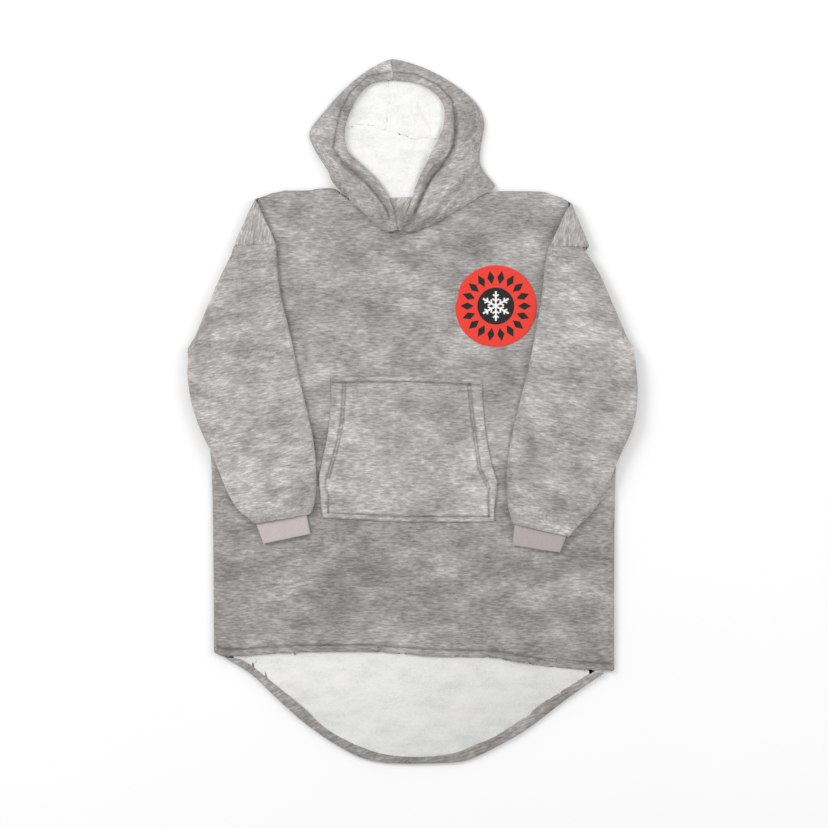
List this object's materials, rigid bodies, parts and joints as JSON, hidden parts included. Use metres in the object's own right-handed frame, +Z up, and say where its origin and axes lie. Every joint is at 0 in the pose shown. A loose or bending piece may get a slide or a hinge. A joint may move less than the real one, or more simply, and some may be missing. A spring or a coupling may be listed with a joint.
{
  "type": "wearable blanket hoodie",
  "caption": "Oversized fleece hoodie blanket laid flat, hood up and open, long sleeves folded over the front, rib cuffs, kangaroo pocket, round chest motif and a longer rounded pale-lined tail.",
  "frame": {"origin": "On the surface that the garment lies on, under the middle of its outline's box.", "axes": "+X is the right of the laid garment as it is looked down on, +Y runs from the tail to the hood along its length, +Z is up out of the surface."},
  "size_m": [0.8124, 1.2716, 0.0313],
  "materials": {
    "fleece": "heathered grey brushed fleece, soft and matt",
    "lining": "off-white curly sherpa pile",
    "rib": "pinkish grey fine rib knit",
    "motif": "smooth matt print on a thin backing, red with black and white"
  },
  "bodies": {
    "root": {"back_panel": "fleece", "front_panel": "fleece", "sleeve_left": "fleece", "sleeve_right": "fleece", "hood_left": "fleece", "hood_right": "fleece", "pocket": "fleece", "tail_hem": "fleece", "neck_facing": "fleece", "back_lining": "lining", "hood_lining_left": "lining", "hood_lining_right": "lining", "neck_lining": "lining", "cuff_left": "rib", "cuff_right": "rib", "chest_patch": "motif"}
  },
  "joints": []
}
